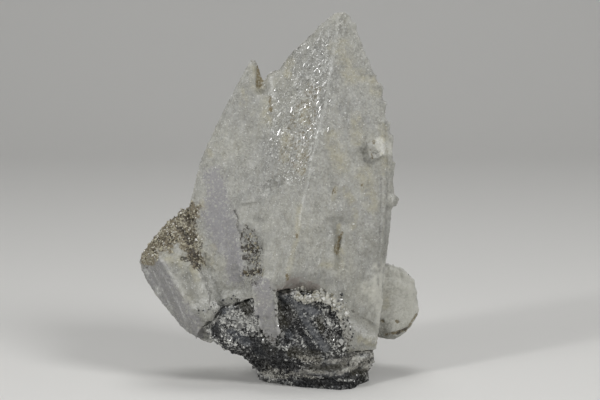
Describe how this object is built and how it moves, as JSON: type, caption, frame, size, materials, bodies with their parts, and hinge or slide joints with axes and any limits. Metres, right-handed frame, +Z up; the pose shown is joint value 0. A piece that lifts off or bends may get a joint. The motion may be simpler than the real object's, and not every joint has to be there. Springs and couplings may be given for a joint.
{
  "type": "quartz on calcite specimen",
  "caption": "Free-standing specimen: a tall dog-tooth calcite crystal with smaller side crystals, sugared with tiny quartz crystals, on a broken base of dark rock.",
  "frame": {"origin": "in the flat underside of the rock, near the middle of its foot", "axes": "+Z up along the tall crystal; -Y is the front, where the crystal's sharp front edge faces; +X to the right as seen from the front"},
  "size_m": [0.0844, 0.0473, 0.1104],
  "materials": {
    "calcite": "matt, sugary calcite in cream and pale grey",
    "quartz": "glittering crust of tiny colourless quartz crystals",
    "matrix": "rough, dark grey granular rock with bright grains"
  },
  "bodies": {
    "root": {"calcite": "calcite", "quartz_druse": "quartz", "matrix": "matrix"}
  },
  "joints": []
}
